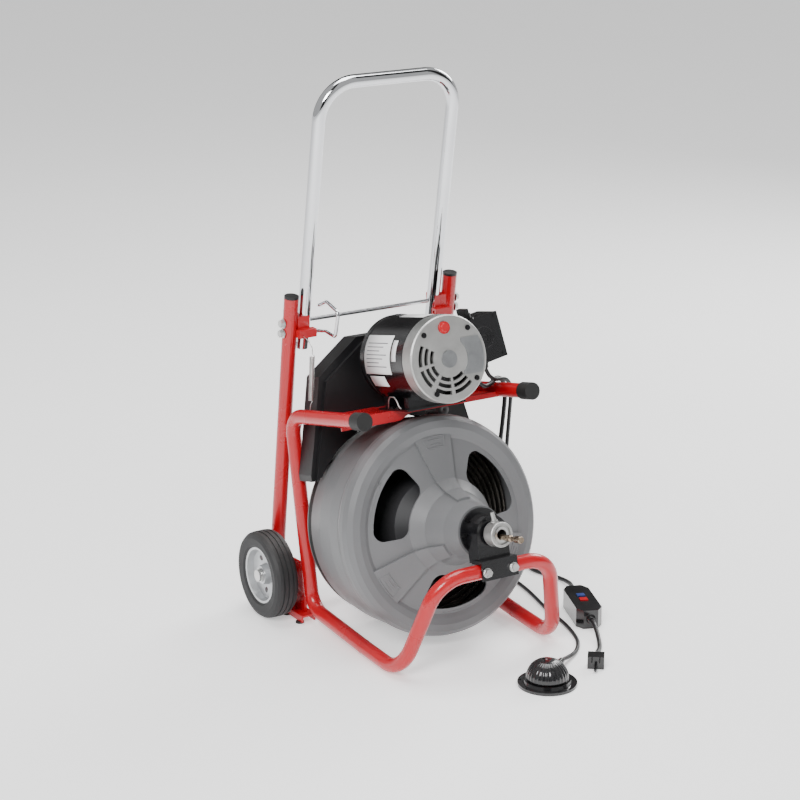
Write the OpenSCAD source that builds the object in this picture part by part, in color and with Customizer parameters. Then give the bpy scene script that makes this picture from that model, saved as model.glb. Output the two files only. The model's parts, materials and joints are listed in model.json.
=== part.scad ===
// Drum-type drain cleaning machine on a wheeled tube frame.
// Origin: centre of the machine's footprint, on the floor. +Z is up, the cable leaves towards -Y.

/* [Frame] */
// Outer diameter of the red frame tube
tube_d = 25.4; // [19:0.1:32]
// Half spacing of the two upright tubes
upright_x = 160; // [130:1:190]
// Lean of the uprights from vertical, in degrees
upright_lean = 7.66; // [0:0.1:15]
// Centreline radius of the tube bends
bend_r = 38; // [30:1:70]

/* [Drum] */
// Height of the drum axis where it crosses the drum's middle
axis_z = 184.3; // [150:0.1:230]
// Nose-up tilt of the drum and motor, in degrees
tilt = 12.72; // [0:0.01:20]
// Largest outer radius of the drum
drum_r = 190; // [150:1:220]
// Number of windows in the drum cover
windows = 3; // [2:1:5]
// Outer diameter of the drain cable
cable_d = 9.5; // [6:0.5:16]

/* [Motor] */
// Distance from the drum axis up to the motor axis
motor_v = 288.2; // [250:0.1:330]
// Outer radius of the motor shell
motor_r = 73.5; // [50:0.5:90]
// Radius of the motor shaft
shaft_r = 8; // [5:0.5:12]
// Groove radius of the motor pulley
pulley_r = 27.5; // [20:0.5:45]

/* [Wheels] */
// Outer radius of the tyres
wheel_r = 77.55; // [60:0.05:110]
// Width of the tyres
wheel_w = 44; // [30:1:60]
// Radius of the axle bar
axle_r = 8; // [5:0.5:12]

/* [Handle] */
// Outer radius of the chrome handle tube
handle_r = 11.3; // [8:0.1:15]
// Half spacing of the handle legs
handle_x = 131; // [100:1:150]
// Lean of the handle from vertical, in degrees
handle_lean = 9.44; // [0:0.01:15]

/* [Cords] */
// Diameter of the power cord
power_d = 8; // [6:0.5:12]
// Diameter of the foot switch cord
pedal_d = 7; // [5:0.5:12]

/* [Hidden] */
$fn = 64;
fit = 0.05;
tube_r = tube_d / 2;
front_shift = 48.4;
axle_y = 155.4;
belt_in = 164;
belt_out = 170.5;
belt_pulley = pulley_r + 0.5;
belt_angle = asin((belt_in - belt_pulley) / motor_v);
box_turn = 10;
grip_v = 208.14;
lug_x = 120.5;
red = [0.78, 0.05, 0.09];
black = [0.07, 0.07, 0.07];
grey = [0.50, 0.50, 0.51];
steel = [0.72, 0.73, 0.75];
alloy = [0.78, 0.78, 0.77];

// Centreline corners of the right-hand frame tubes, before the machine is centred on its origin
side_path = [[166, -111, 422.8], [166, 132, 367.8], [156, 82.5, 28.5], [154.6, -90, 16]];
loop_half = [[154.6, -90.45, 16], [153.6, -207, 10.8], [109, -253, 180]];
loop_path = concat(loop_half, [for (i = [2:-1:0])
    [-loop_half[i][0], loop_half[i][1], loop_half[i][2]]]);
upright_foot = [upright_x, 206.7, 62];
upright_top = [upright_x, 137.7, 575.4];

power_pts = [[108.9, -21.8, 442.2], [110.2, -23, 436], [116.8, -23.5, 423.5],
    [129.6, -20.3, 414], [146, -12.4, 412.4], [167, -0.6, 416.9], [182, 6.6, 412.8],
    [193, 12.1, 400], [197.4, 14.5, 383], [200, 21, 350], [203, 33, 300], [204, 43, 250],
    [204, 48, 190], [205, 50, 120], [209, 56, 66], [220, 67, 36], [236, 83, 21],
    [250, 101, 14.5], [261, 128, 8], [268, 158, 4.9], [272, 195, 4.3], [277, 240, 4.2], [280, 280, 4.1],
    [280, 305, 4.1]];
power_out_pts = [[388, 305, 28.1], [388, 281, 25], [383, 246, 13], [372, 208, 5.8],
    [350, 162, 4.3], [322, 115, 4.3], [311, 83, 4.3], [318, 50, 4.3], [327, 16, 5],
    [322, -18, 9], [307, -48, 15], [294, -65, 17.6], [287.3, -76.5, 18]];
pigtail_pts = [[239, -203.8, 18], [233, -219, 16], [222, -243, 9], [206, -270, 5],
    [190, -290, 6], [177, -303, 9.6], [168.5, -312.5, 11.2]];
pedal_pts = [[132.5, -20.8, 446.3], [133.2, -21.4, 443], [139.5, -22.7, 431.6],
    [151, -21.8, 423.6], [164, -19.2, 421.4], [178.4, -15.8, 417.6], [188.8, -12.8, 406.6],
    [193.4, -9.8, 390], [198, 0, 355], [203, 12, 310], [207, 23, 260], [208, 31, 200],
    [209, 33, 120], [212, 37, 64], [220, 47, 32], [230, 64, 12], [235, 88, 4.8],
    [237, 125, 3.8], [238, 180, 3.8], [234, 222, 3.7], [220, 250, 3.7], [201, 270, 3.6],
    [188, 287, 3.6], [185, 305, 3.6]];
pedal_out_pts = [[265, 305, 10.6], [264.5, 282, 8.8], [259, 240, 4.2], [252, 180, 3.8],
    [250, 120, 3.8], [251, 50, 3.8], [242, -10, 3.8], [221, -97, 3.8], [211, -159, 3.8],
    [193, -218, 3.8], [175, -250, 3.9], [151, -275, 4.9], [124, -293, 9],
    [108, -303, 12.6], [98.6, -309.4, 14]];
coil_power = [334, 305];
coil_pedal = [225, 305];
power_mid = 46;
pedal_mid = 40;

// ---- placing ----

// Machine coordinates: x across, y to the rear, z up
module ground() {
    translate([0, front_shift, 0]) children();
}

// Tilted coordinates: x across, y up the drum face, z forward along the drum axis
module tilted() {
    translate([0, front_shift, axis_z]) rotate([90 - tilt, 0, 0]) children();
}

// Tilted coordinates moved to the motor axis
module at_motor() {
    tilted() translate([0, motor_v, 0]) children();
}

module both() {
    children();
    mirror([1, 0, 0]) children();
}

module ring(r0, r1, z0, z1) {
    translate([0, 0, z0]) difference() {
        cylinder(h = z1 - z0, r = r1);
        translate([0, 0, -1]) cylinder(h = z1 - z0 + 2, r = r0);
    }
}

module rod(a, b, r) {
    d = b - a;
    len = norm(d);
    translate(a) rotate([0, acos(d[2] / len), atan2(d[1], d[0])]) cylinder(h = len, r = r);
}

// ---- bent tubes ----

function unit(v) = v / norm(v);
function turn_of(p, i) = acos(unit(p[i] - p[i - 1]) * unit(p[i + 1] - p[i]));
function cut_of(p, i, bend) = i == 0 || i == len(p) - 1 ? 0 : bend * tan(turn_of(p, i) / 2);
// each straight length runs a hair into its bends, which are drawn a hair fatter
function lap_of(p, i, bend) = i == 0 || i == len(p) - 1 ? 0 : 0.8 * sqrt(0.02 * bend);

module bend_at(p, i, bend, r) {
    a = unit(p[i] - p[i - 1]);
    b = unit(p[i + 1] - p[i]);
    n = unit(b - a * (a * b));
    start = p[i] - a * cut_of(p, i, bend);
    c = start + n * bend;
    w = cross(-n, a);
    multmatrix([[-n[0], a[0], w[0], c[0]], [-n[1], a[1], w[1], c[1]], [-n[2], a[2], w[2], c[2]]])
        rotate_extrude(angle = turn_of(p, i)) translate([bend, 0]) circle(r = r + 0.02);
}

module bent_tube(p, bend, r) {
    for (i = [0:len(p) - 2]) {
        d = unit(p[i + 1] - p[i]);
        rod(p[i] + d * (cut_of(p, i, bend) - lap_of(p, i, bend)),
            p[i + 1] - d * (cut_of(p, i + 1, bend) - lap_of(p, i + 1, bend)), r);
    }
    for (i = [1:len(p) - 2]) bend_at(p, i, bend, r);
}

// ---- cords ----

function curve(a, b, c, d, t) = 0.5 * (2 * b + (c - a) * t + (2 * a - 5 * b + 4 * c - d) * t * t
    + (3 * b - a - 3 * c + d) * t * t * t);
function steps(p, i, gap) = max(1, round(norm(p[i + 1] - p[i]) / gap));
function fine(p, gap) = concat([for (i = [0:len(p) - 2]) for (k = [0:steps(p, i, gap) - 1])
    curve(p[max(i - 1, 0)], p[i], p[i + 1], p[min(i + 2, len(p) - 1)], k / steps(p, i, gap))],
    [p[len(p) - 1]]);
function side_of(t) = unit(cross(t, abs(t[2]) > 0.9 ? [0, 1, 0] : [0, 0, 1]));
function frames(p, i = 0, last = undef) = i == len(p) ? [] :
    let (t = unit(p[min(i + 1, len(p) - 1)] - p[max(i - 1, 0)]),
        u = last == undef ? side_of(t) : unit(last - t * (last * t)))
    concat([[u, cross(t, u)]], frames(p, i + 1, u));

module swept(points, r, gap, sides = 8) {
    p = fine(points, gap);
    f = frames(p);
    n = len(p);
    ring_pts = [for (i = [0:n - 1]) for (k = [0:sides - 1])
        p[i] + r * (f[i][0] * cos(360 * k / sides) + f[i][1] * sin(360 * k / sides))];
    walls = [for (i = [0:n - 2]) for (k = [0:sides - 1]) let (m = (k + 1) % sides)
        [i * sides + k, (i + 1) * sides + k, (i + 1) * sides + m, i * sides + m]];
    ends = [[for (k = [0:sides - 1]) k], [for (k = [sides - 1:-1:0]) (n - 1) * sides + k]];
    polyhedron(ring_pts, concat(walls, ends));
}

module coil(at, mid, d, wide, high) {
    translate([at[0], at[1], 0.1]) rotate_extrude()
        translate([mid - wide * d / 2, 0]) square([wide * d, high * d]);
}

// ---- frame ----

module side_tube() {
    bent_tube(side_path, bend_r, tube_r);
}

module side_tube_right() {
    color(red) ground() side_tube();
}

module side_tube_left() {
    color(red) ground() mirror([1, 0, 0]) side_tube();
}

module front_loop() {
    color(red) ground() bent_tube(loop_path, 60, tube_r);
}

module upright() {
    along = unit(upright_top - upright_foot);
    difference() {
        union() {
            rod(upright_foot, upright_top, tube_r);
            // weld block to the side tube
            translate([upright_x - 5, 132, 322]) cube([10, 32, 24]);
        }
        rod(upright_top - along * 14, upright_top + along * 2, 10.9);
        side_clear();
    }
}

module side_clear() {
    bent_tube(side_path, bend_r, tube_r + 0.02);
}

module upright_right() {
    color(red) ground() upright();
}

module upright_left() {
    color(red) ground() mirror([1, 0, 0]) upright();
}

module upright_plugs() {
    along = unit(upright_top - upright_foot);
    color(black) ground() both() {
        rod(upright_top - along * 13, upright_top + along * 1, 10.85);
        rod(upright_top + along * 0.05, upright_top + along * 4, tube_r);
    }
}

module grip_caps() {
    tip = side_path[0];
    along = unit(side_path[0] - side_path[1]);
    color(black) ground() both() {
        difference() {
            rod(tip - along * 24, tip + along * 4, tube_r + 2.4);
            rod(tip - along * 25, tip + along * 0.05, tube_r + 0.02);
        }
    }
}

// Web between side tube and upright, standing on a channel foot
module axle_brackets() {
    color(red) ground() both() difference() {
        union() {
            translate([-163, 0, 0]) rotate([90, 0, 90]) linear_extrude(height = 5)
                polygon([[100.2, 14], [150, 14], [186, 50], [193.3, 66], [188.1, 104], [176, 100],
                    [106.3, 104], [100.2, 61]]);
            translate([-178, 84, 3]) cube([28, 68, 12]);
            // boss that carries the axle
            translate([-174, axle_y, wheel_r]) rotate([0, 90, 0]) cylinder(h = 20, r = 13);
        }
        translate([-174.6, 70, 2]) cube([21.2, 100, 9.6]);
        translate([-200, axle_y, wheel_r]) rotate([0, 90, 0]) cylinder(h = 60, r = axle_r + 0.02);
    }
}

module foot_pads() {
    color(black) ground() both() for (y = [94, 140])
        translate([-176.3, y, 0]) cylinder(h = 2.98, r = 7.5);
}

module axle_bar() {
    color(steel) ground() translate([-226, axle_y, wheel_r]) rotate([0, 90, 0])
        cylinder(h = 452, r = axle_r);
}

module axle_caps() {
    color(steel) ground() both() translate([219.4, axle_y, wheel_r]) rotate([0, 90, 0]) {
        ring(axle_r + 0.01, 12, 0, 3);
        difference() {
            cylinder(h = 7.5, r = 10.5);
            translate([0, 0, -1]) cylinder(h = 7.62, r = axle_r + 0.01);
        }
    }
}

module tyre() {
    w = wheel_w;
    r = wheel_r;
    translate([183, axle_y, r]) rotate([0, 90, 0]) rotate_extrude() difference() {
        polygon([[50, 4], [54, 1], [66, 0], [73, 2], [76.6, 7], [r, 13], [r, w - 13],
            [76.6, w - 7], [73, w - 2], [66, w], [54, w - 1], [50, w - 4]]);
        for (z = [13, w / 2, w - 13]) translate([r - 1.6, z - 1.2]) square([4, 2.4]);
    }
}

module tyre_right() {
    color(black) ground() tyre();
}

module tyre_left() {
    color(black) ground() mirror([1, 0, 0]) tyre();
}

module rim() {
    w = wheel_w;
    translate([183, axle_y, wheel_r]) rotate([0, 90, 0]) difference() {
        rotate_extrude() polygon([[axle_r + fit, 2], [15, 2], [17, 15], [42, 20], [45, 6],
            [49.98, 4.2], [49.98, w - 4.2], [46, w - 5], [43, 27], [19, 24], [16, 36],
            [axle_r + fit, 36]]);
        for (k = [0:4]) rotate(72 * k) translate([30, 0, -1]) cylinder(h = 60, r = 5);
    }
}

module rim_right() {
    color(steel) ground() rim();
}

module rim_left() {
    color(steel) ground() mirror([1, 0, 0]) rim();
}

// ---- folding handle ----

module handle_frame() {
    ground() translate([0, 155.8, 480.6]) rotate([handle_lean, 0, 0]) children();
}

module handle_tube() {
    top = 472.4;
    color(steel) handle_frame() difference() {
        bent_tube([[handle_x, 0, 0], [handle_x, 0, top], [-handle_x, 0, top], [-handle_x, 0, 0]],
            62, handle_r);
        both() {
            translate([handle_x, 0, -1]) cylinder(h = 21, r = handle_r - 1.6);
            translate([handle_x, 0, 8]) rotate([0, 90, 0]) cylinder(h = 40, r = 3.2, center = true);
        }
    }
}

module handle_rod() {
    color(steel) handle_frame() translate([0, 0, 50]) rotate([0, 90, 0])
        cylinder(h = 2 * (handle_x - handle_r) + 0.06, r = 3.4, center = true);
}

// Saddle from the upright to the handle leg, with a lug for the latch
module handle_guides() {
    color(red) ground() both() difference() {
        union() {
            translate([handle_x - 4, 134, 505]) cube([upright_x - handle_x - 6, 30, 36]);
            translate([lug_x, 121, 506]) cube([upright_x - lug_x - 6, 14, 14]);
        }
        translate([handle_x, 155.8, 480.6]) rotate([handle_lean, 0, 0])
            translate([0, 0, -60]) cylinder(h = 200, r = handle_r + 0.3);
        rod(upright_foot, upright_top + [0, -2, 14], tube_r + 0.02);
        translate([lug_x - 1, 128, 513]) rotate([0, 90, 0]) cylinder(h = 10, r = 3 + fit);
    }
}

module guide_bolts() {
    color(steel) ground() both() for (z = [513, 531]) {
        y = upright_top[1] + (upright_top[2] - z) * tan(upright_lean);
        translate([upright_x + tube_r + 0.02, y, z]) rotate([0, 90, 0]) {
            cylinder(h = 1.6, r = 8.5);
            translate([0, 0, 1.6]) cylinder(h = 6, r = 6.6, $fn = 6);
        }
    }
}

// Bent wire bail that swings on the left lug
latch_path = [[-115, 128, 513], [-115, 100, 519], [-115, 68, 516], [-115, 56, 562],
    [-115, 96, 572], [-115, 122, 560]];
module latch_loop() {
    color(steel) ground() {
        bent_tube(latch_path, 9, 3);
        translate([-lug_x - 8, 128, 513]) rotate([0, 90, 0]) cylinder(h = lug_x - 103, r = 3);
    }
}

// Closed-wound extension spring with its two wire hooks
module latch_spring() {
    color(steel) ground() {
        rod([-151, 84, 484], [-151, 90, 404], 5);
        bent_tube([[-151, 84.2, 483], [-151, 83, 500], [-148, 112, 509], [-148, 120.9, 510]],
            5, 1.2);
        bent_tube([[-151, 89.8, 406], [-151, 91, 393], [-152.5, 91.5, 386]], 4, 1.2);
    }
}

// ---- drum ----

module rear_support() {
    color(red) ground() difference() {
        translate([-152, 96, 142]) cube([304, 6, 52]);
        both() side_clear();
        spindle_shape(0.02);
    }
}

module spindle_shape(gap) {
    translate([0, 0, axis_z]) rotate([90 - tilt, 0, 0]) {
        translate([0, 0, -118]) cylinder(h = 64, r = 12 + gap);
    }
}

module spindle() {
    color(steel) {
        ground() spindle_shape(0);
        tilted() ring(12.02, 20, -92, -86);
    }
}

module drum_rear() {
    color(grey) tilted() rotate_extrude() polygon([[22.05, -74], [169.5, -74], [169.5, -71],
        [163.3, -71], [163.3, -54], [173, -54], [181, -10], [184.5, 30], [185, 60],
        [182, 60], [181.5, 30], [178, -10], [170.2, -51], [160.5, -51], [160.5, -71],
        [22.05, -71]]);
}

// Annular sector with rounded corners, cut through the cover
module window(r0, r1, half, corner) {
    module sector(a, b, h) {
        rotate(-h) rotate_extrude(angle = 2 * h) translate([a, 70]) square([b - a, 80]);
    }
    inner = r0 + corner;
    outer = r1 - corner;
    sector(inner, outer, half);
    sector(r0, r1, half - asin(corner / inner));
    for (s = [-1, 1]) {
        for (r = [inner, outer]) rotate(s * (half - asin(corner / r)))
            translate([r, 0, 70]) cylinder(h = 80, r = corner);
    }
}

module drum_cover() {
    color(grey) tilted() difference() {
        union() {
            rotate_extrude() polygon([[183, 60.02], [183, 64], [188, 66], [drum_r, 74],
                [drum_r, 84], [187, 95], [180, 103], [168, 106], [157, 104], [150, 101],
                [82, 122], [64, 142], [50, 178], [43, 212], [13.05, 212], [13.05, 209],
                [40, 209], [47, 177], [61, 140], [80, 119.5], [149, 98], [157, 101],
                [168, 103], [178, 100.3], [184.3, 93.5], [187, 83.5], [187, 74.5],
                [185.5, 68.5], [180, 66], [180, 60.02]]);
            for (k = [0:windows - 1]) rotate(92 + 360 / windows * k - 13) rotate_extrude(angle = 26)
                polygon([[158, 103.5], [150, 107], [84, 128], [68, 147], [55, 176], [49, 176],
                    [62, 140], [80, 120], [149, 99], [156, 102]]);
        }
        for (k = [0:windows - 1]) rotate(32 + 360 / windows * k) window(82, 141, 30, 18);
    }
}

module drum_hub() {
    color(steel) tilted() rotate_extrude() polygon([[12 + fit, -84], [20, -84], [22, -78],
        [52, -78], [52, -74.02], [22, -74.02], [22, -56], [12 + fit, -56]]);
}

module inner_cone() {
    color([0.16, 0.16, 0.17]) tilted() rotate_extrude() polygon([[22.05, -70.98], [98, -70.98],
        [92, 20], [80, 70], [40, 96], [13.05, 104], [13.05, 101], [38, 93], [77, 68],
        [89, 19], [94.5, -67.98], [22.05, -67.98]]);
}

module cable_coil() {
    color([0.2, 0.2, 0.2]) tilted() rotate_extrude() polygon([[104, -50.9], [169.8, -50.9],
        [177.4, -10], [180.3, 24], [160, 38], [112, 38], [98.6, 0]]);
}

module guide_tube() {
    color(steel) tilted() ring(9, 13, 101, 279);
}

module cable_end() {
    color([0.45, 0.38, 0.30]) tilted() translate([0, -4.2, 0]) {
        translate([0, 0, 60]) cylinder(h = 236, r = cable_d / 2);
        rotate_extrude() polygon([[0, 295.9], [5.6, 295.9], [5.6, 306], [4, 309], [4, 318],
            [6, 321], [6, 334], [5, 336], [0, 336]]);
    }
}

module lock_collar() {
    color(alloy) tilted() difference() {
        rotate_extrude() polygon([[13.02, 255], [20, 255], [21, 256], [21, 279], [20, 280],
            [16.5, 280], [16.5, 277], [13.02, 277]]);
        rotate(100) translate([0, 0, 267]) rotate([0, 90, 0]) cylinder(h = 40, r = 4.06);
    }
}

module thumb_screw() {
    color(alloy) tilted() rotate(100) translate([0, 0, 267]) rotate([0, 90, 0]) {
        translate([0, 0, 13.4]) cylinder(h = 14, r = 4);
        translate([0, 0, 21.3]) cylinder(h = 2.4, r = 6);
        translate([0, 0, 26]) cylinder(h = 12, r = 3.4);
    }
}

// ---- front bearing ----

module bearing_disc() {
    color(black) tilted() ring(13.06, 40, 214, 218);
}

module hex_screw(r) {
    cylinder(h = 1.6, r = r + 0.8);
    translate([0, 0, 1]) cylinder(h = 2.4, r = r, $fn = 6);
}

// Small hex-head screws of the bearing disc, the motor bell and the motor cradle
module hex_screws() {
    color(steel) tilted() {
        for (a = [45, 135, 180, 0]) rotate(a) translate([35, 0, 218.02]) hex_screw(3.4);
        for (a = [48, 134, 240, 322]) translate([0, motor_v, 178.02]) rotate(a)
            translate([63, 0, 0]) hex_screw(3.8);
        for (x = [-54, 54], z = [66, 84]) translate([x, 209.04, z]) rotate([-90, 0, 0])
            hex_screw(3.6);
    }
}

module front_bracket() {
    color(black) tilted() difference() {
        union() {
            translate([0, 0, 218.02]) cylinder(h = 32, r = 30);
            translate([-30, -47, 218.02]) cube([60, 47, 32]);
            translate([-35, -47, 232]) cube([70, 6, 30.5]);
            translate([-35, -74, 258.8]) cube([70, 33, 3.7]);
        }
        translate([0, 0, 200]) cylinder(h = 80, r = 13.06);
        translate([-24, -60, 222]) cube([48, 36, 24.3]);
        for (a = [180, 0]) rotate(a) translate([35, 0, 217]) cylinder(h = 8, r = 6);
    }
}

module bracket_bolts() {
    color(steel) tilted() for (x = [-26, 26]) translate([x, -60.5, 262.52]) {
        cylinder(h = 1.8, r = 8.2);
        translate([0, 0, 1.8]) cylinder(h = 5.6, r = 6.9, $fn = 6);
    }
}

// ---- drive ----

module guard_outline(inset) {
    i = inset;
    polygon([[-50 + i, 330 - i], [50 - i, 330 - i], [132 - i, 272 - i], [157 - i, 160],
        [170 - i, 107], [170 - i, 96], [-170 + i, 96], [-170 + i, 107], [-157 + i, 160],
        [-132 + i, 272 - i]]);
}

module belt_guard() {
    color(black) tilted() difference() {
        union() {
            translate([0, 0, -80]) linear_extrude(height = 44) guard_outline(0);
            translate([0, 0, -37]) linear_extrude(height = 9) guard_outline(9);
        }
        translate([0, 0, -77.5]) linear_extrude(height = 38.6) guard_outline(2.5);
        translate([0, 0, -39]) linear_extrude(height = 8.5) guard_outline(11.5);
        translate([0, 0, -90]) cylinder(h = 80, r = 184.5);
        translate([0, motor_v, -50]) cylinder(h = 40, r = 12);
        translate([-160, 90, -50]) cube([320, 12, 40]);
    }
}

module drive_belt() {
    a = belt_angle;
    d = motor_v;
    t = belt_out - belt_in;
    color([0.05, 0.05, 0.05]) tilted() translate([0, 0, -69]) {
        rotate(180 - a) rotate_extrude(angle = 180 + 2 * a)
            translate([belt_in, 0]) square([t, 13]);
        translate([0, d, 0]) rotate(a) rotate_extrude(angle = 180 - 2 * a)
            translate([belt_pulley, 0]) square([t, 13]);
        both() translate([belt_in * cos(a), belt_in * sin(a), 0]) rotate(a)
            translate([0, -0.01, 0]) cube([t, d * cos(a) + 0.02, 13]);
    }
}

module motor_pulley() {
    color(steel) at_motor() rotate_extrude() polygon([[shaft_r + 0.01, -74.5], [36.5, -74.5],
        [36.5, -71.5], [pulley_r, -70], [pulley_r, -55], [36.5, -53.5], [36.5, -50.5],
        [16, -50.5], [16, -44], [shaft_r + 0.01, -44]]);
}

module motor_shaft() {
    color(steel) at_motor() translate([0, 0, -74.5]) cylinder(h = 241, r = shaft_r);
}

// Rotor with its cooling fan, on the shaft
module motor_core() {
    color([0.5, 0.45, 0.4]) at_motor() {
        ring(shaft_r + 0.01, 40, 44, 128);
        ring(shaft_r + 0.01, 60, 130, 136);
    }
}

module motor_shell() {
    color(black) at_motor() {
        ring(70.5, motor_r, 22, 150);
        ring(42, 70.48, 46, 126);
        // rear bell with the bearing boss
        difference() {
            union() {
                translate([0, 0, 8]) cylinder(h = 14, r = motor_r - 0.5);
                translate([0, 0, 2]) cylinder(h = 10, r = 24);
            }
            translate([0, 0, 13]) cylinder(h = 10, r = 69);
            translate([0, 0, -5]) cylinder(h = 40, r = shaft_r + fit);
        }
    }
}

module front_bell() {
    color(alloy) at_motor() difference() {
        union() {
            translate([0, 0, 150.02]) cylinder(h = 26, r = motor_r + 0.6);
            translate([0, 0, 176]) cylinder(h = 2, r1 = motor_r + 0.6, r2 = motor_r - 1.5);
            translate([0, 0, 142]) cylinder(h = 10, r = 70.4);
        }
        translate([0, 0, 140]) cylinder(h = 33, r = 67);
        translate([-3.8, 53, 170]) cylinder(h = 12, r = 10.8);
        for (s = [[150, 36], [193, 33], [236, 32], [275, 37]]) for (r = [31, 42, 53])
            rotate(s[0]) rotate_extrude(angle = s[1]) translate([r, 165]) square([6.5, 20]);
    }
    color(alloy) at_motor() ring(shaft_r + fit, 20, 160, 173.02);
}

module bell_cap() {
    color(alloy) at_motor() translate([0, 0, 178.02]) {
        cylinder(h = 2.4, r = 14.5);
        // cover plate over the capacitor side of the bell
        intersection() {
            difference() {
                translate([0, 0, 0]) cylinder(h = 1.2, r = 68);
                translate([0, 0, -1]) cylinder(h = 4, r = 36);
            }
            translate([26, -30, -1]) cube([60, 62, 4]);
        }
    }
}

module motor_plate() {
    color(red) tilted() difference() {
        union() {
            translate([-158, 203, -24]) cube([316, 3, 94]);
            translate([0, 0, 67]) linear_extrude(height = 3) polygon([[-158, 206], [158, 206],
                [158, 197], [-22, 197], [-44, 187], [-158, 187]]);
        }
        translate([0, 0, -24.6]) linear_extrude(height = 12) polygon([[-40, 230], [40, 230],
            [40, 190], [-40, 190]]);
        both() translate([166, grip_v, -100]) cylinder(h = 300, r = tube_r + 0.12);
    }
}

module motor_cradle() {
    color(black) tilted() difference() {
        union() {
            translate([-58, 206.02, 26]) cube([116, 3, 96]);
            for (z = [36, 100]) translate([-50, 206.02, z]) cube([100, 22, 14]);
        }
        translate([0, motor_v, 0]) cylinder(h = 200, r = motor_r + 0.02);
    }
}

module reset_button() {
    color([0.75, 0.03, 0.06]) at_motor() translate([-3.8, 53, 175.4]) {
        cylinder(h = 5.6, r = 10.4);
        translate([0, 0, 5.5]) cylinder(h = 4, r1 = 8.5, r2 = 7);
    }
}

// ---- switch box ----

module at_box() {
    at_motor() rotate(box_turn) children();
}

module switch_box() {
    color(black) at_box() {
        difference() {
            translate([74.2, -44.5, 50]) cube([80, 78, 57]);
            translate([77, -41.5, 53]) cube([74.5, 72, 60]);
        }
        translate([73.4, -45.3, 107.02]) cube([81.4, 79.6, 2.4]);
        for (r = [9, 15]) translate([118, -2, 0]) ring(r - 1, r, 109.4, 110.1);
        for (x = [80, 148], y = [-39, 28]) translate([x, y, 109.4]) cylinder(h = 1.6, r = 3);
        // escutcheon of the rotary switch
        translate([106, 33.52, 82]) rotate([-90, 0, 0]) cylinder(h = 1.4, r = 16);
    }
}

module switch_knob() {
    color(black) at_box() translate([106, 35.3, 82]) rotate([-90, 0, 0]) {
        cylinder(h = 7, r = 12);
        translate([-3.5, -14, 5]) cube([7, 28, 12]);
    }
}

module cord_glands() {
    color(black) at_box() for (x = [100, 124]) translate([x, -44.55, 78]) rotate([90, 0, 0]) {
        cylinder(h = 5, r = 8.5);
        translate([0, 0, 4]) cylinder(h = 11, r1 = 7, r2 = 5.2);
    }
}

// ---- foot switch ----

pedal_at = [42, -349];

module pedal_base() {
    color(black) ground() translate([pedal_at[0], pedal_at[1], 0]) {
        difference() {
            union() {
                cylinder(h = 5, r = 49.5);
                translate([0, 0, 4]) cylinder(h = 6, r1 = 41, r2 = 39);
            }
            for (a = [20, 140, 260]) rotate(a) translate([45, 0, -1]) cylinder(h = 10, r = 2.2);
            translate([0, 0, 6]) cylinder(h = 6, r = 36);
        }
        rotate(35) translate([38, 0, 14]) rotate([0, 90, 0]) difference() {
            union() {
                cylinder(h = 32, r1 = 8.5, r2 = 5.6);
                translate([-4, -8, -2]) cube([12, 16, 8]);
            }
            translate([0, 0, 26]) cylinder(h = 10, r = 4);
            translate([0, 0, -38]) rotate([0, -90, 0]) translate([0, 0, -8])
                cylinder(h = 40, r = 38.6);
        }
    }
}

module pedal_dome() {
    color(black) ground() translate([pedal_at[0], pedal_at[1], 0]) rotate_extrude()
        polygon([[0, 44], [10, 43.4], [18, 41], [26, 35.5], [32, 27.5], [35.4, 18], [35.6, 11],
            [33, 11], [32.6, 17], [30, 25], [24, 33], [16, 38], [8, 40.6], [0, 41]]);
}

module pedal_cord() {
    color(black) ground() {
        swept(pedal_pts, pedal_d / 2, 24);
        swept(pedal_out_pts, pedal_d / 2, 24);
    }
}

module pedal_coil() {
    color(black) ground() coil(coil_pedal, pedal_mid, pedal_d, 1, 2);
}

// ---- power supply ----

module power_cord() {
    color(black) ground() {
        swept(power_pts, power_d / 2, 24);
        swept(power_out_pts, power_d / 2, 24);
        swept(pigtail_pts, power_d / 2, 24);
    }
}

module power_coil() {
    color(black) ground() coil(coil_power, power_mid, power_d, 3, 4);
}

module at_gfci() {
    ground() translate([263, -140, 0.1]) rotate(-110.97) children();
}

module gfci_box() {
    color(black) at_gfci() {
        difference() {
            linear_extrude(height = 34) polygon([[-60, -13], [-44, -23], [46, -23], [60, -13],
                [60, 13], [46, 23], [-44, 23], [-60, 13]]);
            for (x = [-12, 8]) translate([x - 6.4, -7.4, 30.6]) cube([12.8, 14.8, 6]);
        }
        for (s = [-1, 1]) translate([s * 59, 0, 17.9]) rotate([0, s * 90, 0])
            cylinder(h = 8.9, r1 = 9, r2 = 6);
    }
}

module gfci_button(x) {
    at_gfci() translate([x - 6, -7, 32]) cube([12, 14, 3.8]);
}

module gfci_test_button() {
    color([0.1, 0.1, 0.35]) gfci_button(-12);
}

module gfci_reset_button() {
    color([0.6, 0.05, 0.05]) gfci_button(8);
}

module plug() {
    color(black) ground() translate([168.5, -312.5, 11.2]) rotate([0, 90, -128]) {
        cylinder(h = 14, r1 = 6, r2 = 11);
        translate([-11, -14, 14]) cube([22, 28, 24]);
    }
    color(steel) ground() translate([168.5, -312.5, 11.2]) rotate([0, 90, -128]) {
        for (y = [-6.4, 6.4]) translate([-7, y - 0.8, 38.02]) cube([7, 1.6, 16]);
        translate([6, 0, 38.02]) cylinder(h = 18, r = 2.4);
    }
}

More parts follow.
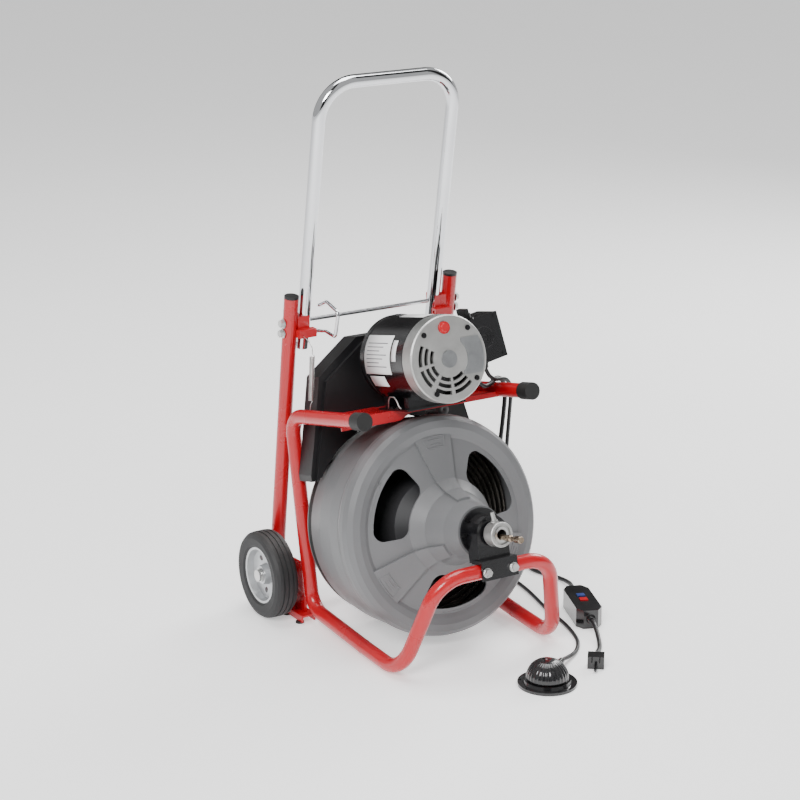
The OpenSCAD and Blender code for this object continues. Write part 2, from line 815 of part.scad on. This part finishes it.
side_tube_left();
side_tube_right();
front_loop();
upright_left();
upright_right();
upright_plugs();
grip_caps();
axle_brackets();
foot_pads();
rear_support();
spindle();
motor_plate();
axle_bar();
axle_caps();
tyre_left();
tyre_right();
rim_left();
rim_right();
handle_tube();
handle_rod();
handle_guides();
guide_bolts();
latch_loop();
latch_spring();
drum_rear();
drum_cover();
drum_hub();
inner_cone();
cable_coil();
guide_tube();
cable_end();
lock_collar();
thumb_screw();
front_bracket();
bearing_disc();
hex_screws();
bracket_bolts();
belt_guard();
drive_belt();
motor_pulley();
motor_shaft();
motor_core();
motor_shell();
front_bell();
bell_cap();
motor_cradle();
reset_button();
switch_box();
switch_knob();
cord_glands();
pedal_base();
pedal_dome();
pedal_cord();
pedal_coil();
power_cord();
power_coil();
gfci_box();
gfci_test_button();
gfci_reset_button();
plug();
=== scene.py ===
import json
import math
import random

import bmesh
import bpy
from mathutils import Matrix, Vector


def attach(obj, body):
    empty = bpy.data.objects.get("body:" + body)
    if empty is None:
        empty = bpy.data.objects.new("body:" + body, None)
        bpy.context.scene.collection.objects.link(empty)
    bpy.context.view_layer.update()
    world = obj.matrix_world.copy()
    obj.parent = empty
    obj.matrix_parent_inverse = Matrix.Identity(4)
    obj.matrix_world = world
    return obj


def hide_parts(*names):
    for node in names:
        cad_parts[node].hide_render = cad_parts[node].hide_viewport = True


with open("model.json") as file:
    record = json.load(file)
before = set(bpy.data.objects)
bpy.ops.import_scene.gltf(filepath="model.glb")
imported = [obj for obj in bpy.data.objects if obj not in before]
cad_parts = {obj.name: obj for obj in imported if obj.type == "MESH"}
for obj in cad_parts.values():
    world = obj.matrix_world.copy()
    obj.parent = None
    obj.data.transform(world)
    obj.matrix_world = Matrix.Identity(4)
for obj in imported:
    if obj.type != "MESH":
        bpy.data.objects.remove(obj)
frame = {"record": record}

random.seed(7)
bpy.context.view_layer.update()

# ---- sizes, in metres, from the CAD's driving dimensions ----
MM = 0.001
SHIFT = Vector((0, 0.0484, 0))
AXIS_Z = 0.1843
TILT = math.radians(12.72)
MOTOR_V = 0.2882
MOTOR_R = 0.0735
BOX_TURN = math.radians(10)
TUBE_R = 0.0127
POWER_D = 0.008
PEDAL_D = 0.007


def ground(p):
    """Machine coordinates in millimetres to the row frame."""
    return Vector(p) * MM + SHIFT


def tilted():
    """Matrix from the tilted frame (x across, y up the face, z forward) to the row frame."""
    return Matrix.Translation((0, SHIFT.y, AXIS_Z)) @ Matrix.Rotation(math.pi / 2 - TILT, 4, "X")


def at_motor():
    return tilted() @ Matrix.Translation((0, MOTOR_V, 0))


def at_box():
    return at_motor() @ Matrix.Rotation(BOX_TURN, 4, "Z")


# ---- camera ----
def camera():
    cam = bpy.data.objects.new("camera", bpy.data.cameras.new("camera"))
    bpy.context.scene.collection.objects.link(cam)
    cam.data.sensor_width = 36
    cam.data.lens = 106.09
    az, el, far = math.radians(-31.58), math.radians(17.18), 4.0106
    back = Vector((math.sin(az) * math.cos(el), -math.cos(az) * math.cos(el), math.sin(el)))
    aim = ground((-27.98, 0, 408.93))
    cam.location = aim + back * far
    cam.rotation_euler = back.to_track_quat("Z", "Y").to_euler()
    bpy.context.scene.camera = cam


camera()


# ---- node helpers ----
def node(mat, kind, **inputs):
    n = mat.node_tree.nodes.new("ShaderNode" + kind)
    for key, value in inputs.items():
        if key in ("operation", "blend_type", "data_type", "wave_type", "bands_direction",
                   "feature", "noise_dimensions", "mode"):
            setattr(n, key, value)
        else:
            n.inputs[key.replace("_", " ")].default_value = value
    return n


def wire(mat, a, b):
    mat.node_tree.links.new(a, b)


def tint(c, k):
    return (min(1, c[0] * k), min(1, c[1] * k), min(1, c[2] * k), 1)


def surface(name, color, rough=0.4, metal=0.0, coat=0.0, grain=300.0, bump=0.1, spread=0.12,
            blotch=9.0, rough_spread=0.12, dust=0.0, spec=0.5):
    """A finish with blotchy colour and gloss, fine grain in the bump, and dust on its upper faces."""
    mat = bpy.data.materials.new(name)
    mat.use_nodes = True
    bsdf = mat.node_tree.nodes["Principled BSDF"]
    bsdf.inputs["Metallic"].default_value = metal
    bsdf.inputs["Coat Weight"].default_value = coat
    bsdf.inputs["Coat Roughness"].default_value = 0.08
    bsdf.inputs["Specular IOR Level"].default_value = spec
    where = node(mat, "TexCoord").outputs["Object"]
    big = node(mat, "TexNoise", Scale=blotch, Detail=6.0, Roughness=0.6)
    fine = node(mat, "TexNoise", Scale=grain, Detail=3.0, Roughness=0.55)
    wire(mat, where, big.inputs["Vector"])
    wire(mat, where, fine.inputs["Vector"])
    ramp = node(mat, "ValToRGB")
    ramp.color_ramp.elements[0].position = 0.3
    ramp.color_ramp.elements[1].position = 0.7
    ramp.color_ramp.elements[0].color = tint(color, 1 - spread)
    ramp.color_ramp.elements[1].color = tint(color, 1 + spread)
    wire(mat, big.outputs["Fac"], ramp.inputs["Fac"])
    mix = node(mat, "Mix", data_type="RGBA")
    mix.inputs[6].default_value = (1, 1, 1, 1)
    mix.inputs[7].default_value = (0.42, 0.40, 0.38, 1)
    mix.inputs[0].default_value = 0.0
    wire(mat, ramp.outputs["Color"], mix.inputs[6])
    if dust:
        geo = node(mat, "NewGeometry")
        split = node(mat, "SeparateXYZ")
        wire(mat, geo.outputs["Normal"], split.inputs["Vector"])
        up = node(mat, "MapRange")
        up.inputs["From Min"].default_value = 0.2
        up.inputs["To Max"].default_value = dust
        wire(mat, split.outputs["Z"], up.inputs["Value"])
        spotty = node(mat, "Math", operation="MULTIPLY")
        wire(mat, up.outputs["Result"], spotty.inputs[0])
        wire(mat, big.outputs["Fac"], spotty.inputs[1])
        wire(mat, spotty.outputs["Value"], mix.inputs[0])
    wire(mat, mix.outputs[2], bsdf.inputs["Base Color"])
    gloss = node(mat, "MapRange")
    gloss.inputs["To Min"].default_value = max(0.02, rough - rough_spread)
    gloss.inputs["To Max"].default_value = min(1, rough + rough_spread)
    wire(mat, big.outputs["Fac"], gloss.inputs["Value"])
    wire(mat, gloss.outputs["Result"], bsdf.inputs["Roughness"])
    push = node(mat, "Bump", Strength=bump, Distance=0.0006)
    wire(mat, fine.outputs["Fac"], push.inputs["Height"])
    wire(mat, push.outputs["Normal"], bsdf.inputs["Normal"])
    return mat


def ribbed(mat, direction, scale, depth, kind="OBJECT"):
    """Adds straight ribs to a finish's bump."""
    bsdf = mat.node_tree.nodes["Principled BSDF"]
    old = bsdf.inputs["Normal"].links[0].from_socket
    wave = node(mat, "TexWave", wave_type="BANDS", bands_direction=direction, Scale=scale)
    wave.inputs["Distortion"].default_value = 0.0
    where = node(mat, "TexCoord")
    wire(mat, where.outputs["UV" if kind == "UV" else "Object"], wave.inputs["Vector"])
    push = node(mat, "Bump", Strength=0.8, Distance=depth)
    wire(mat, wave.outputs["Fac"], push.inputs["Height"])
    wire(mat, old, push.inputs["Normal"])
    wire(mat, push.outputs["Normal"], bsdf.inputs["Normal"])
    return mat


M = {
    "red_frame": surface("red_powder_coat", (0.46, 0.002, 0.008), 0.27, coat=0.25, grain=420,
                         bump=0.16, spread=0.06, blotch=6, rough_spread=0.07, dust=0.02),
    "chrome": surface("chrome_plate", (0.70, 0.71, 0.73), 0.08, 1.0, grain=500, bump=0.02,
                      spread=0.04, blotch=14, rough_spread=0.05),
    "zinc": surface("zinc_plate", (0.62, 0.62, 0.61), 0.32, 1.0, grain=800, bump=0.12,
                    spread=0.14, blotch=60, rough_spread=0.14),
    "black_paint": surface("black_paint", (0.004, 0.004, 0.005), 0.22, coat=0.25, grain=500,
                           bump=0.10, spread=0.2, blotch=8, rough_spread=0.09, dust=0.05),
    "black_plastic": surface("black_moulding", (0.006, 0.006, 0.007), 0.42, grain=900, bump=0.30,
                             spread=0.15, blotch=12, dust=0.06),
    "gloss_black": surface("gloss_moulding", (0.008, 0.008, 0.009), 0.15, coat=0.4, grain=700,
                           bump=0.06, spread=0.2, blotch=20, rough_spread=0.08, dust=0.04),
    "rubber": surface("black_rubber", (0.009, 0.009, 0.009), 0.6, grain=700, bump=0.35,
                      spread=0.2, blotch=30, dust=0.08),
    "tyre": surface("tyre_rubber", (0.015, 0.015, 0.016), 0.62, grain=450, bump=0.4, spread=0.25,
                    blotch=25, dust=0.12),
    "wheel_rim": surface("rim_paint", (0.50, 0.51, 0.52), 0.34, 0.75, grain=700, bump=0.14,
                         spread=0.10, blotch=24, dust=0.05),
    "drum_grey": surface("drum_plastic", (0.150, 0.152, 0.157), 0.42, grain=650, bump=0.30,
                         spread=0.06, blotch=7, rough_spread=0.08, dust=0.05),
    "drum_core": surface("core_plastic", (0.035, 0.035, 0.038), 0.5, grain=600, bump=0.25,
                         spread=0.15, blotch=9),
    "cable": surface("spring_cable", (0.060, 0.055, 0.050), 0.38, 0.9, grain=900, bump=0.2,
                     spread=0.4, blotch=40, rough_spread=0.18),
    "bronze_steel": surface("tinted_steel", (0.34, 0.27, 0.20), 0.30, 1.0, grain=800, bump=0.25,
                            spread=0.3, blotch=90, rough_spread=0.15),
    "cast_alloy": surface("cast_alloy", (0.46, 0.46, 0.45), 0.40, 0.85, grain=750, bump=0.5,
                          spread=0.08, blotch=40, rough_spread=0.1),
    "pulley": surface("machined_iron", (0.16, 0.16, 0.16), 0.4, 0.9, grain=700, bump=0.25),
    "red_plastic": surface("red_button", (0.50, 0.006, 0.012), 0.2, coat=0.4, grain=600,
                           bump=0.05, spread=0.06, blotch=40),
    "blue_plastic": surface("blue_button", (0.02, 0.04, 0.18), 0.3, grain=600, bump=0.08,
                            blotch=40),
    "cord": surface("cord_jacket", (0.008, 0.008, 0.009), 0.42, grain=900, bump=0.25, spread=0.2,
                    blotch=50, dust=0.05),
}
DARK_SCREW = surface("blackened_steel", (0.03, 0.03, 0.032), 0.35, 0.9, grain=700, bump=0.15)
PLATE = surface("plate_steel", (0.34, 0.35, 0.36), 0.36, 0.95, grain=600, bump=0.2, blotch=50)
PAPER = surface("label_paper", (0.80, 0.80, 0.80), 0.35, grain=600, bump=0.05, spread=0.03)
INK = surface("label_ink", (0.05, 0.05, 0.055), 0.5, grain=600, bump=0.05)


SLOT = {s["node"]: s["material_slot"] for s in frame["record"]["subparts"]}


def link(obj, body, slot_name, mat=None, smooth=True):
    bpy.context.scene.collection.objects.link(obj)
    obj.data.materials.clear()
    obj.data.materials.append(mat or M[slot_name])
    if obj.type == "MESH" and smooth:
        for f in obj.data.polygons:
            f.use_smooth = True
    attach(obj, body)
    return obj


def mesh_object(name, verts, faces, body, slot_name, mat=None, smooth=True):
    me = bpy.data.meshes.new(name)
    me.from_pydata([tuple(v) for v in verts], [], faces)
    me.validate()
    bm = bmesh.new()
    bm.from_mesh(me)
    bmesh.ops.recalc_face_normals(bm, faces=bm.faces)
    bm.to_mesh(me)
    bm.free()
    return link(bpy.data.objects.new(name, me), body, slot_name, mat, smooth)


def soften(obj, width=0.0008, angle=35, segments=2):
    b = obj.modifiers.new("edge", "BEVEL")
    b.width = width
    b.segments = segments
    b.limit_method = "ANGLE"
    b.angle_limit = math.radians(angle)
    b.harden_normals = True
    return obj


# ---- the routes of the cords, as in the CAD ----
POWER_IN = [(108.9, -21.8, 442.2), (110.2, -23, 436), (116.8, -23.5, 423.5), (129.6, -20.3, 414),
            (146, -12.4, 412.4), (167, -0.6, 416.9), (182, 6.6, 412.8), (193, 12.1, 400),
            (197.4, 14.5, 383), (200, 21, 350), (203, 33, 300), (204, 43, 250), (204, 48, 190),
            (205, 50, 120), (209, 56, 66), (220, 67, 36), (236, 83, 21), (250, 101, 14.5),
            (261, 128, 8), (268, 158, 4.9), (272, 195, 4.3), (277, 240, 4.2), (280, 280, 4.1),
            (280, 305, 4.1)]
POWER_OUT = [(388, 305, 28.1), (388, 281, 25), (383, 246, 13), (372, 208, 5.8), (350, 162, 4.3),
             (322, 115, 4.3), (311, 83, 4.3), (318, 50, 4.3), (327, 16, 5), (322, -18, 9),
             (307, -48, 15), (294, -65, 17.6), (287.3, -76.5, 18)]
PIGTAIL = [(239, -203.8, 18), (233, -219, 16), (222, -243, 9), (206, -270, 5), (190, -290, 6),
           (177, -303, 9.6), (168.5, -312.5, 11.2)]
PEDAL_IN = [(132.5, -20.8, 446.3), (133.2, -21.4, 443), (139.5, -22.7, 431.6), (151, -21.8, 423.6),
            (164, -19.2, 421.4), (178.4, -15.8, 417.6), (188.8, -12.8, 406.6), (193.4, -9.8, 390),
            (198, 0, 355), (203, 12, 310), (207, 23, 260), (208, 31, 200), (209, 33, 120),
            (212, 37, 64), (220, 47, 32), (230, 64, 12), (235, 88, 4.8), (237, 125, 3.8),
            (238, 180, 3.8), (234, 222, 3.7), (220, 250, 3.7), (201, 270, 3.6), (188, 287, 3.6),
            (185, 305, 3.6)]
PEDAL_OUT = [(265, 305, 10.6), (264.5, 282, 8.8), (259, 240, 4.2), (252, 180, 3.8),
             (250, 120, 3.8), (251, 50, 3.8), (242, -10, 3.8), (221, -97, 3.8), (211, -159, 3.8),
             (193, -218, 3.8), (175, -250, 3.9), (151, -275, 4.9), (124, -293, 9),
             (108, -303, 12.6), (98.6, -309.4, 14)]
COIL_POWER, COIL_PEDAL = (334, 305), (225, 305)
POWER_MID, PEDAL_MID = 46, 40


def curve_pt(a, b, c, d, t):
    return 0.5 * (2 * b + (c - a) * t + (2 * a - 5 * b + 4 * c - d) * t * t
                  + (3 * b - a - 3 * c + d) * t * t * t)


def fine(points, gap=6.0):
    p = [Vector(q) for q in points]
    out = []
    for i in range(len(p) - 1):
        n = max(1, round((p[i + 1] - p[i]).length / gap))
        for k in range(n):
            out.append(curve_pt(p[max(i - 1, 0)], p[i], p[i + 1], p[min(i + 2, len(p) - 1)], k / n))
    return out + [p[-1]]


def ease(t):
    t = min(1.0, max(0.0, t))
    return t * t * (3 - 2 * t)


def wound(centre, cells, d, turns, z0):
    """Turns of a round coil from its left side, clockwise, through a list of (radius, row) cells."""
    per = 40
    out = []
    for i in range(1, int(turns * per)):
        turn = i / per
        k = int(turn)
        part = turn - k
        here, there = cells[k], cells[min(k + 1, len(cells) - 1)]
        lift = ease((part - 0.70) / 0.15) if there[1] != here[1] else 0
        slide = ease((part - 0.85) / 0.15) if there[0] != here[0] else 0
        r = here[0] + (there[0] - here[0]) * slide
        z = z0 + d * (here[1] + (there[1] - here[1]) * lift)
        a = math.pi - 2 * math.pi * turn
        out.append(Vector((centre[0] + r * math.cos(a), centre[1] + r * math.sin(a), z)))
    return out


def cord_curve(name, points, d, body="frame"):
    cu = bpy.data.curves.new(name, "CURVE")
    cu.dimensions = "3D"
    cu.bevel_depth = d / 2
    cu.bevel_resolution = 4
    cu.use_fill_caps = True
    sp = cu.splines.new("POLY")
    sp.points.add(len(points) - 1)
    for q, p in zip(sp.points, points):
        w = ground(p)
        q.co = (w.x, w.y, w.z, 1)
    sp.use_smooth = True
    return link(bpy.data.objects.new(name, cu), body, "cord")


def free_cords():
    d = POWER_D / MM
    cells = []
    for row in range(4):
        cols = (1, 0, -1) if row % 2 == 0 else (-1, 0, 1)
        cells += [(POWER_MID + c * d, row) for c in cols]
    way = fine(POWER_IN) + wound(COIL_POWER, cells, d, 11.5, 4.1) + fine(POWER_OUT)
    power = cord_curve("power_cord_run", way, POWER_D)
    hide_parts("power_cord", "power_coil")
    way = fine(PIGTAIL)
    tail = cord_curve("pigtail_run", way, POWER_D)
    d = PEDAL_D / MM
    way = (fine(PEDAL_IN) + wound(COIL_PEDAL, [(PEDAL_MID, 0), (PEDAL_MID, 1)], d, 1.5, 3.6)
           + fine(PEDAL_OUT))
    pedal = cord_curve("pedal_cord_run", way, PEDAL_D)
    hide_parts("pedal_cord", "pedal_coil")


free_cords()

# ---- every CAD node gets its finish ----
for name, slot_name in SLOT.items():
    o = bpy.data.objects[name]
    o.data.materials.clear()
    o.data.materials.append({"hex_screws": DARK_SCREW, "bell_cap": PLATE}.get(name, M[slot_name]))

# ---- details ----
def tilt_pt(x, v, s):
    return tilted() @ (Vector((x, v, s)) * MM)


def motor_pt(r, angle, s):
    """A point at radius r and angle (90 degrees is up) round the motor axis."""
    a = math.radians(angle)
    return at_motor() @ (Vector((r * math.cos(a), r * math.sin(a), s)) * MM)


def drum_pt(r, angle, s):
    a = math.radians(angle)
    return tilt_pt(r * math.cos(a), r * math.sin(a), s)


def wire_piece(name, points, r, body, slot_name, closed=False, mat=None):
    cu = bpy.data.curves.new(name, "CURVE")
    cu.dimensions = "3D"
    cu.bevel_depth = r * MM
    cu.bevel_resolution = 3
    cu.use_fill_caps = not closed
    sp = cu.splines.new("POLY")
    sp.points.add(len(points) - 1)
    for q, p in zip(sp.points, points):
        q.co = (p.x, p.y, p.z, 1)
    sp.use_cyclic_u = closed
    sp.use_smooth = True
    return link(bpy.data.objects.new(name, cu), body, slot_name, mat)


def lathe(name, profile, place, body, slot_name, sides=96, wobble=None):
    """Turns a closed (radius, height) outline in millimetres round the z axis of a placing matrix."""
    verts, faces, n = [], [], len(profile)
    for i in range(sides):
        a = 2 * math.pi * i / sides
        for r, z in profile:
            r = wobble(r, z, a) if wobble else r
            verts.append(place @ (Vector((r * math.cos(a), r * math.sin(a), z)) * MM))
    for i in range(sides):
        j = (i + 1) % sides
        for k in range(n):
            m = (k + 1) % n
            faces.append((i * n + k, j * n + k, j * n + m, i * n + m))
    return mesh_object(name, verts, faces, body, slot_name)


# ---- cable in the drum ----
def cable_windings():
    """Rings of cable round the drum's core, one for each turn that can be seen."""
    rnd = random.Random(3)
    pitch, r = 9.6, 4.75
    turns = [(108 + pitch * i, 32.5) for i in range(6)]
    turns += [(113 + pitch * i, 23.4) for i in range(7)]
    turns += [(104.4, 23 - pitch * i) for i in range(7)] + [(110 + pitch * i, -44) for i in range(6)]
    turns += [(171.5 - 0.6 * i, 14 - pitch * i) for i in range(6)]
    verts, faces, uvs = [], [], []
    around, sides = 96, 10
    for turn_r, s in turns:
        base, lean = len(verts), rnd.uniform(0, 2 * math.pi)
        for i in range(around):
            a = 2 * math.pi * i / around
            sway = 0.5 * math.sin(2 * a + lean)
            for k in range(sides):
                b = 2 * math.pi * k / sides
                rr = turn_r + r * math.cos(b)
                verts.append(tilt_pt(rr * math.cos(a), rr * math.sin(a), s + sway + r * math.sin(b)))
        for i in range(around):
            j = (i + 1) % around
            for k in range(sides):
                m = (k + 1) % sides
                faces.append((base + i * sides + k, base + j * sides + k,
                              base + j * sides + m, base + i * sides + m))
                u0, u1 = i / around * turn_r / 8, (i + 1) / around * turn_r / 8
                uvs.append(((u0, k / sides), (u1, k / sides), (u1, (k + 1) / sides),
                            (u0, (k + 1) / sides)))
    me = bpy.data.meshes.new("cable_windings")
    me.from_pydata([tuple(v) for v in verts], [], faces)
    layer = me.uv_layers.new(name="along")
    for poly, quad in zip(me.polygons, uvs):
        for corner, uv in zip(poly.loop_indices, quad):
            layer.data[corner].uv = uv
    coils = link(bpy.data.objects.new("cable_windings", me), "drum", "cable", CABLE)
    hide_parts("cable_coil")
    lathe("cable_pack", [(108, -44), (166, -44), (172, -8), (168, 20), (158, 28), (112, 28),
                         (106, 0)], tilted(), "drum", "cable")


# ---- drum cover trim ----
def cover_height(r):
    """Height of the raised spokes' face at a radius, from the CAD's cover outline."""
    return 128 - 21 * (r - 84) / 66 if r < 150 else 107 - 3.5 * (r - 150) / 8


def badge_frames():
    """Raised blank frames on the three spokes, with plain bars in place of any lettering."""
    for k in range(3):
        mid = 92 + 120 * k
        path = [drum_pt(155, mid + a, cover_height(155)) for a in range(-8, 9, 2)]
        path += [drum_pt(137, mid + a, cover_height(137)) for a in (7, 5, 3, 1, -1, -3, -5, -7)]
        wire_piece("badge_frame_%d" % k, path, 1.2, "drum", "drum_grey", closed=True)
        for i, r in enumerate((142.5, 149.5)):
            bar = [drum_pt(r, mid + a, cover_height(r)) for a in range(-4, 5, 2)]
            wire_piece("badge_bar_%d_%d" % (k, i), bar, 0.9, "drum", "drum_grey")


def turning_arrows():
    """Moulded arrows outside the windows that show which way the drum turns."""
    for k in range(3):
        mid = 32 + 120 * k
        arc = [drum_pt(147, mid + a, 101.6) for a in range(-12, 13, 2)]
        wire_piece("arrow_%d" % k, arc, 0.9, "drum", "drum_grey")
        head = [drum_pt(150.5, mid - 9.5, 101.6), drum_pt(147, mid - 12, 101.6),
                drum_pt(143.5, mid - 9.5, 102.6)]
        wire_piece("arrow_head_%d" % k, head, 0.9, "drum", "drum_grey")


# ---- motor ----
def label(name, s0, s1, a0, a1, lift=0.12, mat=None):
    """A thin sheet wrapped on the motor shell between two heights and two angles."""
    cols, rows = 24, 2
    verts, faces = [], []
    for layer in (0, 0.22):
        for i in range(cols + 1):
            a = a0 + (a1 - a0) * i / cols
            for j in range(rows + 1):
                verts.append(motor_pt(73.5 + lift + layer, a, s0 + (s1 - s0) * j / rows))
    size = (cols + 1) * (rows + 1)
    at = lambda layer, i, j: layer * size + i * (rows + 1) + j
    for i in range(cols):
        for j in range(rows):
            for layer in (0, 1):
                faces.append((at(layer, i, j), at(layer, i + 1, j), at(layer, i + 1, j + 1),
                              at(layer, i, j + 1)))
        for j in (0, rows):
            faces.append((at(0, i, j), at(0, i + 1, j), at(1, i + 1, j), at(1, i, j)))
    for j in range(rows):
        for i in (0, cols):
            faces.append((at(0, i, j), at(0, i, j + 1), at(1, i, j + 1), at(1, i, j)))
    return mesh_object(name, verts, faces, "frame", "black_paint", mat or PAPER)


def motor_labels():
    """Blank labels, with plain grey rules where a real one is printed."""
    label("label_side", 24, 108, 141, 194)
    label("label_strip", 113, 127, 148, 176)
    label("label_low", 32, 80, 197, 213)
    label("label_top", 60, 138, 82, 103)
    for i in range(7):
        label("label_rule_%d" % i, 32, 96 - 12 * (i % 3), 152 + 5.2 * i, 153 + 5.2 * i, 0.36, INK)
    for i, s in enumerate((22.6, 149.2)):
        ring = [motor_pt(74.0, 6 * k, s) for k in range(60)]
        wire_piece("shell_bead_%d" % i, ring, 0.6, "frame", "black_paint", closed=True)


def cradle_wire():
    """Spring clip that hooks the motor to its cradle."""
    pts = [tilt_pt(*p) for p in ((-57, 210, 58), (-58.5, 214, 62), (-59.5, 224, 66),
                                 (-60, 230, 72), (-60, 230, 86), (-59.5, 224, 92),
                                 (-58.5, 214, 96), (-57, 210, 100))]
    wire_piece("cradle_clip", pts, 1.2, "frame", "zinc")


# ---- switch box ----
def knockouts():
    for i, r in enumerate((4.5, 18.5)):
        ring = [at_box() @ (Vector((118 + r * math.cos(k * 0.15708), -2 + r * math.sin(k * 0.15708),
                                    109.6)) * MM) for k in range(40)]
        wire_piece("knockout_%d" % i, ring, 0.45, "frame", "black_paint", closed=True)


# ---- latch spring and its wiring ----
def latch_helix():
    top, low = Vector((-151, 84, 484)), Vector((-151, 90, 404))
    turns, r = 34, 3.9
    way = [ground(p) for p in ((-152.5, 91.5, 386.5), (-151.5, 91.3, 390), (-151, 91, 397))]
    for i in range(turns * 14):
        t = i / (turns * 14)
        a = 2 * math.pi * turns * t
        c = low.lerp(top, t)
        way.append(ground((c.x + r * math.cos(a), c.y + r * math.sin(a), c.z)))
    way += [ground(p) for p in ((-151, 84, 489), (-151, 83, 498), (-149.5, 95, 505),
                                (-148, 108, 508.5), (-148, 119.5, 510))]
    helix = wire_piece("latch_helix", way, 0.85, "frame", "zinc")
    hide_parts("latch_spring")


# ---- foot switch ----
def pedal_bellows():
    """Ribbed dome of the foot switch, inside the outline of its CAD solid."""
    def ribs(r, z, a):
        return r - 0.9 * ease((r - 8) / 14) * (0.5 + 0.5 * math.cos(30 * a)) if z > 11.5 else r
    outline = [(0.3, 44), (5, 43.8), (10, 43.4), (14, 42.4), (18, 41), (22, 38.5), (26, 35.5),
               (29.3, 31.8), (32, 27.5), (34, 23), (35.4, 18), (35.6, 14), (35.6, 11.4),
               (33, 11.4), (32.6, 17), (30, 25), (24, 33), (16, 38), (8, 40.6), (0.3, 41)]
    place = Matrix.Translation(ground((42, -349, 0)))
    dome = lathe("pedal_ribs", outline, place, "foot_dome", "gloss_black", 240, ribs)
    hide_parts("pedal_dome")
    return dome


# ---- small things on the frame ----
def drum_bumper():
    """Ribbed bumper between the motor plate and the drum."""
    place = tilted() @ Matrix.Translation(Vector((50, 190.6, 0)) * MM)
    out = [(2, 15)]
    for i in range(9):
        z = 15 + 5 * i
        out += [(11, z + 0.4), (11, z + 3.4), (9.6, z + 3.9), (9.6, z + 4.9)]
    lathe("drum_bumper", out + [(2, 60)], place, "frame", "drum_grey", 40)


def weld_collars():
    """Weld rings where the front loop meets the side tubes."""
    for side in (-1, 1):
        ring = []
        for k in range(40):
            a = 2 * math.pi * k / 40
            ring.append(ground((side * 154.6 + 12.5 * math.cos(a), -90.22,
                                16 + 12.5 * math.sin(a))))
        wire_piece("tube_weld_%s" % ("left" if side < 0 else "right"), ring, 0.6, "frame",
                   "red_frame", closed=True)


def coil_ties():
    """Two straps round each hidden coil."""
    for name, centre, mid, w, h in (("power", COIL_POWER, POWER_MID, 25.2, 33.0),
                                    ("pedal", COIL_PEDAL, PEDAL_MID, 8.4, 15.0)):
        for i, angle in enumerate((60, 240)):
            a = math.radians(angle)
            loop = []
            for r, z in ((-w / 2, 1), (-w / 2, h - 1), (-w / 2 + 1, h), (w / 2 - 1, h),
                         (w / 2, h - 1), (w / 2, 1)):
                loop.append(ground((centre[0] + (mid + r) * math.cos(a),
                                    centre[1] + (mid + r) * math.sin(a), z)))
            wire_piece("tie_%s_%d" % (name, i), loop, 0.7, "frame", "cord", closed=True)


CABLE = ribbed(surface("wound_cable", (0.050, 0.045, 0.040), 0.36, 0.85, grain=900, bump=0.15,
                       spread=0.4, blotch=40, rough_spread=0.15), "DIAGONAL", 6.0, 0.0012, "UV")
cable_windings()
badge_frames()
turning_arrows()
motor_labels()
cradle_wire()
knockouts()
latch_helix()
pedal_bellows()
drum_bumper()
weld_collars()
coil_ties()

ROUND = {"power_cord", "pedal_cord", "power_coil", "pedal_coil", "latch_spring", "cable_coil",
         "pedal_dome"}
for name in SLOT:
    if name not in ROUND:
        soften(bpy.data.objects[name], 0.0006)

# ---- floor, light ----
def studio_world():
    """Soft white surroundings with a few dark cards, which give bright metal its streaks."""
    world = bpy.data.worlds.new("studio")
    bpy.context.scene.world = world
    world.use_nodes = True
    back = world.node_tree.nodes["Background"]
    back.inputs["Strength"].default_value = 0.55
    split = node(world, "SeparateXYZ")
    wire(world, node(world, "TexCoord").outputs["Generated"], split.inputs["Vector"])
    turn = node(world, "Math", operation="ARCTAN2")
    wire(world, split.outputs["Y"], turn.inputs[0])
    wire(world, split.outputs["X"], turn.inputs[1])
    share = node(world, "MapRange")
    share.inputs["From Min"].default_value = -math.pi
    share.inputs["From Max"].default_value = math.pi
    wire(world, turn.outputs["Value"], share.inputs["Value"])
    ramp = node(world, "ValToRGB")
    stops = ramp.color_ramp.elements
    stops[0].position, stops[1].position = 0.0, 1.0
    stops[0].color = stops[1].color = (1, 1, 1, 1)
    for place, shade in ((0.10, 1), (0.12, 0.03), (0.19, 0.03), (0.21, 1), (0.36, 1), (0.38, 0.04),
                         (0.44, 0.04), (0.46, 1), (0.62, 1), (0.65, 0.05), (0.74, 0.05), (0.77, 1)):
        stops.new(place).color = (shade, shade, shade, 1)
    wire(world, share.outputs["Result"], ramp.inputs["Fac"])
    wire(world, ramp.outputs["Color"], back.inputs["Color"])


def stage():
    floor = bpy.data.objects.new("floor", bpy.data.meshes.new("floor"))
    floor.data.from_pydata([(-9, -9, 0), (9, -9, 0), (9, 9, 0), (-9, 9, 0)], [], [(0, 1, 2, 3)])
    bpy.context.scene.collection.objects.link(floor)
    paint = surface("floor_paint", (0.93, 0.93, 0.93), 0.6, grain=60, bump=0.02, spread=0.01,
                    blotch=0.6, spec=0.2)
    paint.node_tree.nodes["Principled BSDF"].inputs["Emission Color"].default_value = (1, 1, 1, 1)
    paint.node_tree.nodes["Principled BSDF"].inputs["Emission Strength"].default_value = 0.55
    floor.data.materials.append(paint)
    for name, place, size, power, aim in (
            ("key", (-2.6, -2.2, 2.8), 1.5, 150, (0, 0, 0.3)),
            ("top", (0.3, 0.3, 4.0), 2.4, 130, (0, 0, 0.3)),
            ("rim", (2.8, 1.2, 2.0), 1.4, 70, (0, 0, 0.4))):
        lamp = bpy.data.objects.new(name, bpy.data.lights.new(name, "AREA"))
        lamp.data.size = size
        lamp.data.energy = power
        lamp.location = place
        lamp.rotation_euler = (Vector(place) - Vector(aim)).to_track_quat("Z", "Y").to_euler()
        bpy.context.scene.collection.objects.link(lamp)


studio_world()

stage()
